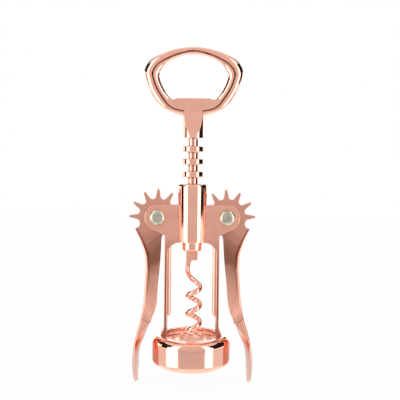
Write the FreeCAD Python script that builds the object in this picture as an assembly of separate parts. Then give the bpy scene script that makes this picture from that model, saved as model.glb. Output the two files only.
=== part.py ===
import FreeCAD, Part
import os
from math import atan2, cos, pi, radians, sin, sqrt

# Wing corkscrew. Millimetres, +Z up along the tool axis, X across the wings, Y from front to back.
# The origin is the centre of the bell's mouth, where the bottle's neck enters.

V = FreeCAD.Vector

# rack and pinions
tooth_pitch = 6.82
teeth_per_turn = 12
pitch_radius = tooth_pitch * teeth_per_turn / (2 * pi)
pivot_x = 18.95
pivot_z = 80.3
tip_radius = 15.4
flank_radius = 10.9
valley_radius = 10.1
tooth_tip_width = 1.2
tooth_root_width = 2.8
tooth_crown = 0.35
tooth_count = 7
first_tooth_deg = -1.4
pinion_thickness = 4.0

# rack: ring-shaped teeth on a hollow neck
rack_bottom = 61.95
rack_top = 123.25
rack_end_rounding = 1.2
neck_radius = 2.9
flange_radius = 6.0
flange_tip_thickness = 3.0
flange_root_thickness = 3.4
flange_rounding = 0.4
top_flange_z = 117.3
flange_count = 7
plain_end_radius = 5.6
plain_end_top = 71.2
plain_end_rounding = 0.6

# spindle, its flat shoulder and the worm
spindle_radius = 1.75
spindle_top = 136.0
spindle_overlap = 0.5
running_gap = 0.05
shoulder_half = 2.0
# shoulder seen from the front, as (x, z, rounding); its left side runs on down to the wire
shoulder_outline = [(-3.2, 61.9, 0), (-3.2, 53.6, 0.6), (-1.0, 52.4, 0.5), (-0.4, 57.0, 1.5),
                    (3.2, 57.0, 0.45), (3.2, 61.9, 0)]
# the wire's start inside the shoulder, as (x, z) from where the coil begins, and the radius there
wire_start = [(0.9, 6.0, 1.5), (0.4, 3.0, 1.2)]
wire_radius = 1.4
coil_radius = 3.5
coil_pitch = 9.6
coil_offset_x = 1.2
coil_join_z = 42.05
coil_ease_drop = 5.6
coil_tip_z = 14.0
tip_wire_radius = 0.25
tip_taper_deg = 330
sections_per_turn = 10

# handle
shank_radius = 5.9
shank_bottom = 123.3
shank_top = 139.0
shank_chamfer = 0.3
flat_bottom_z = 123.6
flat_top_z = 137.6
web_half = 2.45
rim_half = 3.3
band_half = 2.45
rim_rounding = 1.0
band_rounding = 0.9
rim_gap_inset = 0.4
lip_z = 145.0
lip_half_width = 8.6
pin_radius = 1.0
pin_hole_radius = 1.01
pin_z = 130.0
pin_inset = 0.1

# frame casting
sleeve_bottom = 66.8
sleeve_top = 98.5
sleeve_bottom_radius = 7.85
sleeve_top_radius = 8.3
sleeve_rounding = 1.6
sleeve_bottom_rounding = 0.4
sleeve_bore_radius = 6.1
ear_radius = 6.9
ear_slope_deg = 25
ear_heel_rounding = 1.8
plate_half = 4.2
slot_half = 2.2
pocket_radius = 15.9
leg_outer_x = 14.95
leg_inner_x = 13.3
arch_z = 66.7
arch_corner = 6.8
rib_inner_x = 11.3
rib_half = 1.4
rib_bottom = 25.4
rib_nose_rounding = 1.8
rib_overlap = 0.3
foot_x = 16.8
foot_z = 16.4
foot_rise = 3.6
foot_bend_rounding = 3.0
foot_tip_rounding = 0.8

# base ring, bell and liner
ring_bore_radius = 14.3
ring_bottom = 13.9
ring_foot_radius = 15.2
ring_lip_radius = 15.7
ring_lip_top = 16.2
ring_low_rounding = 0.3
ring_inner_rounding = 0.5
ring_outer_rounding = 0.4
flange_outer_radius = 19.95
flange_bottom = 12.9
flange_top = 15.0
flange_edge_rounding = 1.8
seat_gap = 0.05
bell_radius = 21.55
bell_top = 16.3
bell_wall = 1.4
bell_mouth_radius = 16.9
bell_low_rounding = 4.0
bell_high_rounding = 3.7
bell_inner_low_rounding = 2.4
bell_lip_rounding = 0.4
bell_hole_rounding = 0.5
liner_bore_radius = 15.0
liner_rounding = 2.6

# rivets
rivet_radius = 2.0
rivet_bore_radius = 2.05
front_head_radius = 4.35
front_head_height = 1.9
back_head_radius = 3.6
back_head_height = 1.3
head_rim = 0.35
head_overlap = 0.5

# wing arm, right-hand side: edges as (x, z) from the top down, the outer one from below its top corner
arm_outer = [(27.85, 67.2), (25.85, 61.0), (25.3, 54.5), (25.6, 44.0), (26.4, 32.0), (27.5, 23.5),
             (29.6, 14.5), (30.9, 5.0), (31.2, -3.0), (30.8, -8.6)]
arm_inner = [(16.8, 68.5), (17.3, 57.0), (18.5, 43.0), (19.3, 31.0), (21.5, 25.5), (24.7, 17.5),
             (27.6, 9.0), (28.8, 1.0), (28.9, -8.6)]
arm_end = (29.85, -9.88)
lip_inner = [(30.2, 72.2), (27.0, 66.0), (24.5, 60.0), (23.9, 54.0), (24.1, 44.0), (24.7, 32.0),
             (23.8, 24.0), (25.1, 17.0), (27.6, 9.0), (28.8, 1.0), (28.9, -8.6)]
corner_deg = 207
corner_radius = 13.7
corner_valley_deg = 193.8
heel_deg = -75
# the right wing rests this much further out than the left, within the play of its teeth
right_rest_deg = 1.1
# half-width in Y of the arm's lip and paddle, as (half-width, z)
paddle_outline = [(2.8, 74.5), (2.8, 46.0), (3.0, 32.0), (5.0, 21.5), (8.0, 12.0), (9.0, 3.5),
                  (8.2, -3.5), (5.0, -8.7)]
paddle_tip_z = -9.9

# grip ring, right half: outlines as (x, z) from the top down
rim_outer = [(0.0, 172.7), (16.2, 169.8), (24.5, 165.0), (26.95, 159.8), (25.7, 153.8), (22.3, 146.3),
             (17.0, 140.2), (9.5, 136.5), (0.0, 135.2)]
rim_inner = [(0.0, 170.4), (7.6, 169.0), (14.0, 166.5), (20.3, 162.2), (22.3, 158.4), (21.6, 154.5),
             (17.6, 146.4), (12.2, 140.1), (5.6, 138.1), (0.0, 137.6)]
opening = [(0.0, 169.1), (9.6, 167.1), (15.6, 163.4), (18.6, 157.2), (16.9, 151.6), (12.6, 145.3)]
opening_foot = (11.3, 144.1)
bow_start = (1, 0)
bow_end = (-0.65, -1)

# size of the blocks and rods that only cut, past the part on every side
past = 30.0


def point(x, z, y=0.0):
    return V(x, y, z)


def line(a, b):
    return Part.LineSegment(a, b).toShape()


def mirrored(shape):
    return shape.mirror(V(0, 0, 0), V(1, 0, 0))


def opposite(shape):
    """The same shape on the other side of the axis, a half turn round; it must be alike front and back."""
    turned_round = shape.copy()
    turned_round.rotate(V(0, 0, 0), V(0, 0, 1), 180)
    return turned_round


def spline(points, start=None, end=None):
    """Smooth edge through points in the XZ plane, with optional end directions."""
    curve = Part.BSplineCurve()
    vectors = [point(x, z) for x, z in points]
    if start is None:
        curve.interpolate(vectors)
    else:
        curve.interpolate(Points=vectors, InitialTangent=V(start[0], 0, start[1]),
                          FinalTangent=V(end[0], 0, end[1]))
    return curve.toShape()


def rounded_wire(corners):
    """Closed wire in the XZ plane through (x, z, radius) corners, each rounded by its radius."""
    count = len(corners)
    legs = []
    for i in range(count):
        x, z, radius = corners[i]
        before = corners[i - 1]
        after = corners[(i + 1) % count]
        corner = point(x, z)
        to_before = (point(before[0], before[1]) - corner).normalize()
        to_after = (point(after[0], after[1]) - corner).normalize()
        if radius == 0:
            legs.append((corner, None, corner))
            continue
        half = to_before.getAngle(to_after) / 2
        reach = radius * cos(half) / sin(half)
        middle = (to_before + to_after).normalize() * (radius / sin(half) - radius)
        legs.append((corner + to_before * reach, corner + middle, corner + to_after * reach))
    edges = []
    for i in range(count):
        start, middle, end = legs[i]
        if middle is not None:
            edges.append(Part.Arc(start, middle, end).toShape())
        following = legs[(i + 1) % count][0]
        if (following - end).Length > 1e-6:
            edges.append(line(end, following))
    return Part.Wire(Part.__sortEdges__(edges))


def turned(corners):
    """Solid of revolution about Z of a rounded (r, z) outline."""
    face = Part.Face(rounded_wire(corners))
    return face.revolve(V(0, 0, 0), V(0, 0, 1), 360)


def plate(wire, half):
    """Solid of an XZ outline, from -half to +half in Y."""
    face = Part.Face(wire)
    face.translate(V(0, -half, 0))
    return face.extrude(V(0, 2 * half, 0))


def block(x0, x1, y0, y1, z0, z1):
    return Part.makeBox(x1 - x0, y1 - y0, z1 - z0, V(x0, y0, z0))


def rod(radius, z0, z1):
    return Part.makeCylinder(radius, z1 - z0, V(0, 0, z0), V(0, 0, 1))


def cross_rod(radius, x, z, y0, y1):
    return Part.makeCylinder(radius, y1 - y0, V(x, y0, z), V(0, 1, 0))


def closed_outline(half_points):
    """Closed smooth wire from a right half that starts and ends on the axis."""
    right = spline(half_points, (1, 0), (-1, 0))
    return Part.Wire([right, mirrored(right)])


def edges_at(shape, y, wire):
    """The shape's edges that lie at depth y along an XZ wire."""
    found = []
    for edge in shape.Edges:
        middle = edge.valueAt((edge.FirstParameter + edge.LastParameter) / 2)
        if abs(abs(middle.y) - y) > 1e-4:
            continue
        probe = Part.Vertex(V(middle.x, 0, middle.z))
        if wire.distToShape(probe)[0] < 1e-3:
            found.append(edge)
    return found


def opening_wire():
    """Outline of the opener's hole: a smooth bow over a straight prying lip."""
    right = spline(opening, bow_start, bow_end)
    foot = point(*opening_foot)
    lip_end = point(lip_half_width, lip_z)
    last = point(*opening[-1])
    left = mirrored(right)
    edges = [right, line(last, foot), line(foot, lip_end)]
    edges += [line(lip_end, V(-lip_end.x, 0, lip_end.z))]
    edges += [mirrored(edges[2]), mirrored(edges[1]), left]
    return Part.Wire(Part.__sortEdges__(edges))


def handle():
    outer = closed_outline(rim_outer)
    groove = closed_outline(rim_inner)
    hole = opening_wire()

    rim = plate(outer, rim_half).cut(plate(groove, past))
    rim = rim.makeFillet(rim_rounding, edges_at(rim, rim_half, outer))
    gap = shank_radius - rim_gap_inset
    rim = rim.cut(block(-gap, gap, -past, past, shank_bottom, shank_top))

    band = plate(groove, band_half).cut(plate(hole, past))
    bow = spline(opening, bow_start, bow_end)
    bow_edges = edges_at(band, band_half, Part.Wire([bow]))
    bow_edges += edges_at(band, band_half, Part.Wire([mirrored(bow)]))
    band = band.makeFillet(band_rounding, bow_edges)

    body = band.fuse([rim, shank()]).removeSplitter()
    body = body.cut(rod(spindle_radius + running_gap, shank_bottom - past, spindle_top + 4 * running_gap))
    return body.cut(pin_rod(pin_hole_radius, past))


def shank():
    """Round shank whose front and back flats slope in to the web."""
    body = rod(shank_radius, shank_bottom, shank_top)
    low_edges = [edge for edge in body.Edges if edge.BoundBox.ZMax < shank_bottom + shank_chamfer]
    body = body.makeChamfer(shank_chamfer, low_edges)
    wedge_points = [V(0, -past, shank_bottom - past), V(0, -shank_radius, flat_bottom_z),
                    V(0, -web_half, flat_top_z), V(0, -web_half, shank_top)]
    wedge_points += [V(0, -p.y, p.z) for p in reversed(wedge_points)]
    wedge = Part.Face(Part.makePolygon(wedge_points + wedge_points[:1]))
    wedge.translate(V(-past, 0, 0))
    return body.common(wedge.extrude(V(2 * past, 0, 0)))


def pin_rod(radius, reach):
    """Rod along X through the shank and the spindle."""
    return Part.makeCylinder(radius, 2 * reach, V(-reach, 0, pin_z), V(1, 0, 0))


def spindle_pin():
    return pin_rod(pin_radius, shank_radius - pin_inset)


def rack():
    corners = [(spindle_radius + running_gap, rack_bottom, 0),
               (plain_end_radius, rack_bottom, rack_end_rounding),
               (plain_end_radius, plain_end_top, plain_end_rounding),
               (neck_radius, plain_end_top, 0)]
    for i in reversed(range(flange_count)):
        z = top_flange_z - i * tooth_pitch
        root = flange_root_thickness / 2
        tip = flange_tip_thickness / 2
        corners += [(neck_radius, z - root, 0),
                    (flange_radius, z - tip, flange_rounding),
                    (flange_radius, z + tip, flange_rounding),
                    (neck_radius, z + root, 0)]
    corners += [(neck_radius, rack_top, 0),
                (spindle_radius + running_gap, rack_top, 0)]
    return turned(corners)


def coil_sections():
    """Centre, tangent and wire radius down the worm, from inside the shoulder to the tip."""
    first_turn = 180.0
    total = first_turn + 360.0 * (coil_join_z - coil_tip_z) / coil_pitch
    steps = int(total / 360.0 * sections_per_turn)
    left_x = coil_offset_x - coil_radius
    start_z = coil_join_z + coil_pitch / 2 + coil_ease_drop
    rows = [(V(left_x + x, 0, start_z + z), radius) for x, z, radius in wire_start]
    for i in range(steps + 1):
        turn = total * i / steps
        z = coil_join_z + coil_pitch * (first_turn - turn) / 360.0
        if turn < first_turn:
            z += coil_ease_drop * ((first_turn - turn) / first_turn) ** 3
        angle = radians(180.0 - turn)
        left = total - turn
        radius = wire_radius
        if left < tip_taper_deg:
            radius = tip_wire_radius + (wire_radius - tip_wire_radius) * sqrt(left / tip_taper_deg)
        centre = V(coil_offset_x + coil_radius * cos(angle), coil_radius * sin(angle), z)
        rows.append((centre, radius))
    sections = []
    for i in range(len(rows)):
        before = rows[max(i - 1, 0)][0]
        after = rows[min(i + 1, len(rows) - 1)][0]
        tangent = (after - before).normalize()
        if i == 0:
            tangent = V(0, 0, -1)
        sections.append((rows[i][0], tangent, rows[i][1]))
    return sections


def worm():
    wires = []
    for centre, tangent, radius in coil_sections():
        circle = Part.Circle(centre, tangent, radius)
        wires.append(Part.Wire([circle.toShape()]))
    coil = Part.makeLoft(wires, True, False)
    shoulder = plate(rounded_wire(shoulder_outline), shoulder_half)
    shoulder_top = shoulder_outline[0][1]
    spindle = rod(spindle_radius, shoulder_top - spindle_overlap, spindle_top)
    body = shoulder.fuse([spindle, coil])
    return body.cut(pin_rod(pin_hole_radius, past))


def ear_and_leg():
    """Outline of the right-hand ear with the leg's strap below it, to be made as thick as the clevis."""
    slope = radians(ear_slope_deg)
    touch_x = pivot_x + ear_radius * sin(slope)
    touch_z = pivot_z - ear_radius * cos(slope)
    right = pivot_x + ear_radius
    top = pivot_z + ear_radius
    corner_z = touch_z + (right - touch_x) * sin(slope) / cos(slope)
    heel_z = touch_z - (touch_x - leg_outer_x) * sin(slope) / cos(slope)
    root_x = sleeve_bore_radius / 2
    return rounded_wire([(root_x, top, 0),
                         (right, top, ear_radius),
                         (right, corner_z, ear_radius),
                         (leg_outer_x, heel_z, ear_heel_rounding),
                         (leg_outer_x, foot_z + foot_rise, foot_bend_rounding),
                         (foot_x, foot_z, foot_tip_rounding),
                         (foot_x, ring_bottom, 0),
                         (leg_inner_x, ring_bottom, 0),
                         (leg_inner_x, arch_z, arch_corner),
                         (root_x, arch_z, 0)])


def leg_rib():
    """Rounded rib on the inside of the right leg; its lower end is a bullet nose."""
    back_x = leg_inner_x + rib_overlap
    rib_top = arch_z + 1
    side = rounded_wire([(back_x, rib_top, 0),
                         (back_x, rib_bottom, 0),
                         (rib_inner_x, rib_bottom, rib_nose_rounding),
                         (rib_inner_x, rib_top, 0)])
    nose_x = rib_inner_x + rib_half
    nose = rod(rib_half, rib_bottom - past, rib_top + past)
    nose.translate(V(nose_x, 0, 0))
    backing = block(nose_x, back_x + past, -rib_half, rib_half, rib_bottom - past, rib_top + past)
    return plate(side, rib_half).common(nose.fuse(backing))


def base_ring():
    return turned([(ring_bore_radius, ring_bottom, ring_low_rounding),
                   (ring_bore_radius, ring_lip_top, ring_inner_rounding),
                   (ring_lip_radius, ring_lip_top, ring_outer_rounding),
                   (ring_lip_radius, flange_top, 0),
                   (flange_outer_radius, flange_top, flange_edge_rounding),
                   (flange_outer_radius, flange_bottom, 0),
                   (ring_foot_radius, flange_bottom, 0)])


def frame():
    sleeve = turned([(0, sleeve_bottom, 0),
                     (sleeve_bottom_radius, sleeve_bottom, sleeve_bottom_rounding),
                     (sleeve_top_radius, sleeve_top, sleeve_rounding),
                     (0, sleeve_top, 0)])
    bell_seat = rod(past, flange_bottom, bell_top + seat_gap)
    bell_seat = bell_seat.cut(rod(ring_lip_radius, flange_bottom - past, bell_top + past))
    side = plate(ear_and_leg(), plate_half).cut(bell_seat)
    rib = leg_rib()
    body = sleeve.fuse([side, opposite(side), rib, opposite(rib), base_ring()])
    body = body.cut(rod(sleeve_bore_radius, sleeve_bottom - past, sleeve_top + past))
    for x in (-pivot_x, pivot_x):
        body = body.cut(cross_rod(pocket_radius, x, pivot_z, -slot_half, slot_half))
        body = body.cut(cross_rod(rivet_bore_radius, x, pivot_z, -past, past))
    return body.removeSplitter()


def bell():
    inner = bell_radius - bell_wall - 2 * seat_gap
    hole = ring_lip_radius + seat_gap
    return turned([(bell_mouth_radius, 0, bell_lip_rounding),
                   (bell_radius, 0, bell_low_rounding),
                   (bell_radius, bell_top, bell_high_rounding),
                   (hole, bell_top, bell_hole_rounding),
                   (hole, flange_top, 0),
                   (inner, flange_top, flange_edge_rounding),
                   (inner, bell_wall, bell_inner_low_rounding),
                   (bell_mouth_radius, bell_wall, bell_lip_rounding)])


def bottle_liner():
    outer = bell_radius - bell_wall - 4 * seat_gap
    neck = bell_mouth_radius - seat_gap
    return turned([(liner_bore_radius, 0, 0),
                   (neck, 0, bell_hole_rounding),
                   (neck, bell_wall, 0),
                   (outer, bell_wall, liner_rounding),
                   (outer, flange_bottom, 0),
                   (liner_bore_radius, flange_bottom, 0)])


def polar(radius, degrees):
    """Point at a radius and angle about the right pivot, turned from -X over the top as the teeth are."""
    angle = radians(180 - degrees)
    return point(pivot_x + radius * cos(angle), pivot_z + radius * sin(angle))


def pinion_teeth():
    """The toothed sector of the right wing, as one closed wire with rounded valleys."""
    step = 360.0 / teeth_per_turn
    tip_half = tooth_tip_width / 2 / tip_radius * 180 / pi
    root_half = tooth_root_width / 2 / flank_radius * 180 / pi
    shoulder = tip_radius - tooth_crown
    edges = []
    last = None
    for i in range(tooth_count):
        tooth = first_tooth_deg + i * step
        root_a = polar(flank_radius, tooth - root_half)
        tip_a = polar(shoulder, tooth - tip_half)
        tip_b = polar(shoulder, tooth + tip_half)
        root_b = polar(flank_radius, tooth + root_half)
        if last is not None:
            edges.append(Part.Arc(last, polar(valley_radius, tooth - step / 2), root_a).toShape())
        edges.append(line(root_a, tip_a))
        edges.append(Part.Arc(tip_a, polar(tip_radius, tooth), tip_b).toShape())
        edges.append(line(tip_b, root_b))
        last = root_b
    return edges, last


def arm_back(inner):
    """The arm's outer edge from its top corner, and the arc round its end to an inner edge's last point."""
    corner = polar(corner_radius, corner_deg)
    outer = spline([(corner.x, corner.z)] + arm_outer)
    end = Part.Arc(point(*arm_outer[-1]), point(*arm_end), point(*inner[-1])).toShape()
    return corner, [outer, end]


def wing_plate_wire():
    """Outline of the right wing's flat plate: teeth, corner, outer edge, end and inner edge."""
    edges, last = pinion_teeth()
    first = edges[0].Vertexes[0].Point
    corner, back = arm_back(arm_inner)
    edges.append(Part.Arc(last, polar(valley_radius, corner_valley_deg), corner).toShape())
    heel = polar(valley_radius, heel_deg)
    under = Part.Arc(heel, polar(valley_radius, heel_deg / 2), first).toShape()
    edges += back + [spline(arm_inner), line(point(*arm_inner[0]), heel), under]
    return Part.Wire(Part.__sortEdges__(edges))


def paddle():
    """Raised outer lip of the right wing that widens into the thumb paddle."""
    corner, edges = arm_back(lip_inner)
    edges += [spline(lip_inner), line(corner, point(*lip_inner[0]))]
    side = plate(Part.Wire(Part.__sortEdges__(edges)), past)
    curve = Part.BSplineCurve()
    curve.interpolate([V(0, y, z) for y, z in paddle_outline])
    right = curve.toShape()
    left = right.mirror(V(0, 0, 0), V(0, 1, 0))
    low_y, low_z = paddle_outline[-1]
    high_y, high_z = paddle_outline[0]
    nose = Part.Arc(V(0, low_y, low_z), V(0, 0, paddle_tip_z), V(0, -low_y, low_z)).toShape()
    head = line(V(0, high_y, high_z), V(0, -high_y, high_z))
    front = Part.Face(Part.Wire(Part.__sortEdges__([right, nose, left, head])))
    return side.common(front.extrude(V(2 * past, 0, 0)))


def right_lever():
    body = plate(wing_plate_wire(), pinion_thickness / 2)
    body = body.fuse(paddle()).removeSplitter()
    return body.cut(cross_rod(rivet_bore_radius, pivot_x, pivot_z, -past, past))


def rivet(x):
    """Rivet along Y at a pivot: a domed head in front and a lower head behind."""
    reach = plate_half + head_overlap
    front = dome(front_head_radius, front_head_height, -1)
    back = dome(back_head_radius, back_head_height, 1)
    body = cross_rod(rivet_radius, 0, 0, -reach, reach).fuse([front, back])
    body.translate(V(x, 0, pivot_z))
    return body


def dome(radius, height, side):
    """Head on the clevis face, a low rim under a cap of a sphere; side -1 is the front."""
    rise = height - head_rim
    ball = (radius ** 2 + rise ** 2) / (2 * rise)
    half_angle = atan2(radius, ball - rise) / 2
    base = side * plate_half
    edge = side * (plate_half + head_rim)
    top = side * (plate_half + height)
    shoulder = V(ball * sin(half_angle), top + side * ball * (cos(half_angle) - 1), 0)
    outline = Part.Wire([line(V(0, base, 0), V(radius, base, 0)),
                         line(V(radius, base, 0), V(radius, edge, 0)),
                         Part.Arc(V(radius, edge, 0), shoulder, V(0, top, 0)).toShape(),
                         line(V(0, top, 0), V(0, base, 0))])
    return Part.Face(outline).revolve(V(0, 0, 0), V(0, 1, 0), 360)


os.makedirs("parts", exist_ok=True)
lever = right_lever()
hung_out = lever.copy()
hung_out.rotate(V(pivot_x, 0, pivot_z), V(0, -1, 0), right_rest_deg)
pieces = {
    "handle": handle(),
    "spindle_pin": spindle_pin(),
    "rack": rack(),
    "worm": worm(),
    "frame": frame(),
    "bell": bell(),
    "bottle_liner": bottle_liner(),
    "left_lever": opposite(lever),
    "right_lever": hung_out,
    "left_rivet": rivet(-pivot_x),
    "right_rivet": rivet(pivot_x),
}
for name, shape in pieces.items():
    print(name, len(shape.Solids), "valid" if shape.isValid() else "INVALID", round(shape.Volume, 2))
    shape.exportStep(os.path.join("parts", name + ".step"))
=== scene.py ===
import bpy
import bmesh
from math import atan2, cos, hypot, pi, radians, sin, sqrt, tan
from mathutils import Matrix, Vector


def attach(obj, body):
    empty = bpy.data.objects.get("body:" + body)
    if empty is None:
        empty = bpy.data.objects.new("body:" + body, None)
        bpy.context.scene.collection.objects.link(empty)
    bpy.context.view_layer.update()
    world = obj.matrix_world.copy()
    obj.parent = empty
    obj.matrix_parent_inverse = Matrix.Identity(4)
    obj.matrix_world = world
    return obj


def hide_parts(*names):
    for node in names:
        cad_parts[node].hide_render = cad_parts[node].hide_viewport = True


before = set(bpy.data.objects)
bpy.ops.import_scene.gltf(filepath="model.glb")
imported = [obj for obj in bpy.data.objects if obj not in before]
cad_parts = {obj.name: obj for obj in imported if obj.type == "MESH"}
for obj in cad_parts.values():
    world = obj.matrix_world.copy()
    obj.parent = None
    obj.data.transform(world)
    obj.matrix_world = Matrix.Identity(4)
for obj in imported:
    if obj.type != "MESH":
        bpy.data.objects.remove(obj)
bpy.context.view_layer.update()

# Wing corkscrew. Lengths in the dictionaries are millimetres; meshes are metres in the frame of the CAD.

mm = 0.001
tiny = 0.000002
pivotPlace = (18.95, 80.3)    # x and z of the right wing's axle
clevisHalf = 4.2              # half the thickness of the frame's ears
pinHeight = 130.0             # of the cross pin through the shank


def deselectAll():
    if bpy.context.mode != "OBJECT":
        bpy.ops.object.mode_set(mode="OBJECT")
    bpy.ops.object.select_all(action="DESELECT")


def pickOnly(piece):
    deselectAll()
    piece.select_set(True)
    bpy.context.view_layer.objects.active = piece


def editAll(piece):
    pickOnly(piece)
    bpy.ops.object.mode_set(mode="EDIT")
    bpy.ops.mesh.select_mode(type="VERT")
    bpy.ops.mesh.select_all(action="SELECT")


def selectEdges(piece, wanted):
    bpy.ops.mesh.select_all(action="DESELECT")
    bpy.ops.mesh.select_mode(type="EDGE")
    mesh = bmesh.from_edit_mesh(piece.data)
    for edge in mesh.edges:
        if wanted(edge):
            edge.select = True
    mesh.select_flush_mode()
    bmesh.update_edit_mesh(piece.data)


def closeUp(piece):
    # merge what coincides, drop what is loose and turn all faces outwards
    editAll(piece)
    bpy.ops.mesh.remove_doubles(threshold=tiny)
    bpy.ops.mesh.delete_loose()
    bpy.ops.mesh.select_all(action="SELECT")
    bpy.ops.mesh.normals_make_consistent(inside=False)
    bpy.ops.object.mode_set(mode="OBJECT")


def drawLoop(name, points):
    # a ring of vertices laid along an outline of (x, z) points
    deselectAll()
    bpy.ops.mesh.primitive_circle_add(vertices=len(points), radius=mm)
    piece = bpy.context.active_object
    piece.name = name
    for vertex, (x, z) in zip(piece.data.vertices, points):
        vertex.co = (x * mm, 0, z * mm)
    return piece


def layPoints(piece, rows):
    points = [point for row in rows for point in row]
    for vertex, point in zip(piece.data.vertices, points):
        vertex.co = Vector(point) * mm


def drawGrid(name, rows, strips=()):
    # a grid whose rows are laid along sections of (x, y, z) points; open ends are filled
    # strips are columns of faces that take the second material
    deselectAll()
    across = len(rows[0])
    bpy.ops.mesh.primitive_grid_add(x_subdivisions=across - 1, y_subdivisions=len(rows) - 1)
    piece = bpy.context.active_object
    piece.name = name
    layPoints(piece, rows)
    giveMaterial(piece, None, None)
    for face in piece.data.polygons:
        if face.index % (across - 1) in strips:
            face.material_index = 1
    editAll(piece)
    bpy.ops.mesh.remove_doubles(threshold=tiny)
    bpy.ops.mesh.select_all(action="SELECT")
    bpy.ops.mesh.fill_holes(sides=0)
    closeUp(piece)
    return piece


def turned(name, outline, steps):
    # an outline of (x, z) points spun about the tool's axis
    piece = drawLoop(name, outline)
    editAll(piece)
    bpy.ops.mesh.spin(steps=steps, angle=2 * pi, center=(0, 0, 0), axis=(0, 0, 1))
    closeUp(piece)
    return piece


def extrudeLoop(piece, halfDepth, edgeWidth, edgeSteps, rimSlot=0):
    # a plate of the outline, alike in front and behind, with softened rims of the material in that slot
    editAll(piece)
    bpy.ops.mesh.edge_face_add()
    bpy.ops.transform.translate(value=(0, -halfDepth * mm, 0))
    bpy.ops.mesh.extrude_region_move(TRANSFORM_OT_translate={"value": (0, 2 * halfDepth * mm, 0)})
    bpy.ops.mesh.select_all(action="SELECT")
    bpy.ops.mesh.normals_make_consistent(inside=False)
    selectEdges(piece, lambda edge: abs(edge.verts[0].co.y - edge.verts[1].co.y) < tiny)
    bpy.ops.mesh.bevel(offset=edgeWidth * mm, segments=edgeSteps, affect="EDGES", material=rimSlot)
    bpy.ops.object.mode_set(mode="OBJECT")
    return piece


def placeMesh(piece, turn=0.0, axis="Z", move=(0, 0, 0)):
    piece.data.transform(Matrix.Translation(Vector(move) * mm) @ Matrix.Rotation(turn, 4, axis))
    piece.data.update()
    return piece


def twin(piece, name):
    # the same piece on the other side of the axis, half a turn round
    copy = piece.copy()
    copy.data = piece.data.copy()
    copy.name = name
    bpy.context.collection.objects.link(copy)
    return placeMesh(copy, pi)


def combine(piece, tool, action="UNION"):
    pickOnly(piece)
    bpy.ops.object.modifier_add(type="BOOLEAN")
    change = piece.modifiers[-1]
    change.operation = action
    change.solver = "EXACT"
    change.material_mode = "TRANSFER"
    change.object = tool
    bpy.ops.object.modifier_apply(modifier=change.name)
    bpy.data.objects.remove(tool, do_unlink=True)
    return piece


def crossCylinder(radius, x, z, y0, y1, sides):
    deselectAll()
    bpy.ops.mesh.primitive_cylinder_add(vertices=sides, radius=radius * mm, depth=(y1 - y0) * mm)
    return placeMesh(bpy.context.active_object, pi / 2, "X", (x, (y0 + y1) / 2, z))


def shadePiece(piece, angle=32, flat=False):
    # flat: large faces stay flat beside the small ones of a rounded edge
    pickOnly(piece)
    bpy.ops.object.shade_smooth_by_angle(angle=radians(angle))
    if flat:
        bpy.ops.object.modifier_add(type="WEIGHTED_NORMAL")
        change = piece.modifiers[-1]
        change.keep_sharp = True
        change.weight = 90
        bpy.ops.object.modifier_apply(modifier=change.name)


def cutFlat(place, normal):
    # edges where a plane passes through
    bpy.ops.mesh.select_all(action="SELECT")
    bpy.ops.mesh.bisect(plane_co=place, plane_no=normal)


def giveMaterial(piece, *materials):
    piece.data.materials.clear()
    for material in materials:
        piece.data.materials.append(material)


def setMaterials(piece, *materials):
    # fills the slots that the faces already point to
    for k, material in enumerate(materials):
        piece.data.materials[k] = material


def handOver(piece, body, slot, *nodes):
    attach(piece, body)
    if nodes:
        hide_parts(*nodes)


def arcPoints(centre, radius, start, end, steps):
    # angles in degrees from +X towards +Z
    points = []
    for i in range(steps + 1):
        angle = radians(start + (end - start) * i / steps)
        points.append((centre[0] + radius * cos(angle), centre[1] + radius * sin(angle)))
    return points


def roundedOutline(corners, steps=6):
    # (x, z, radius) corners, each with an arc where its radius isn't 0
    points = []
    for i, (x, z, radius) in enumerate(corners):
        corner = Vector((x, z))
        if radius == 0:
            points.append((x, z))
            continue
        before = (Vector(corners[i - 1][:2]) - corner).normalized()
        after = (Vector(corners[(i + 1) % len(corners)][:2]) - corner).normalized()
        half = before.angle(after) / 2
        centre = corner + (before + after).normalized() * radius / sin(half)
        start = corner + before * radius / tan(half) - centre
        end = corner + after * radius / tan(half) - centre
        sweep = atan2(start.x * end.y - start.y * end.x, start.dot(end))
        for k in range(steps + 1):
            spoke = Matrix.Rotation(sweep * k / steps, 2) @ start
            points.append((centre.x + spoke.x, centre.y + spoke.y))
    return points


def follow(knots, place, level=False):
    # smooth value at a place on (value, place) knots; level makes both ends flat
    rows = sorted((at, value) for value, at in knots)
    if place <= rows[0][0]:
        return rows[0][1]
    if place >= rows[-1][0]:
        return rows[-1][1]
    slopes = []
    for i in range(len(rows) - 1):
        slopes.append((rows[i + 1][1] - rows[i][1]) / (rows[i + 1][0] - rows[i][0]))
    tangents = [0 if level else slopes[0]]
    for i in range(1, len(rows) - 1):
        back = rows[i][0] - rows[i - 1][0]
        ahead = rows[i + 1][0] - rows[i][0]
        tangents.append((slopes[i - 1] * ahead + slopes[i] * back) / (back + ahead))
    tangents.append(0 if level else slopes[-1])
    i = 0
    while rows[i + 1][0] < place:
        i += 1
    span = rows[i + 1][0] - rows[i][0]
    t = (place - rows[i][0]) / span
    return ((2 * t ** 3 - 3 * t ** 2 + 1) * rows[i][1] + (t ** 3 - 2 * t ** 2 + t) * span * tangents[i]
            + (3 * t ** 2 - 2 * t ** 3) * rows[i + 1][1] + (t ** 3 - t ** 2) * span * tangents[i + 1])


# tones of the plate, of the film on it, and of the painted shade in its corners, hollows and groove
copperTone = (0.930, 0.475, 0.355, 1)
copperDeep = (0.890, 0.435, 0.320, 1)
filmAndShadeTone = (0.150, 0.028, 0.012, 1)
# painted shade for the ring's groove
grooveShadeTone = (0.100, 0.026, 0.014, 1)


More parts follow.
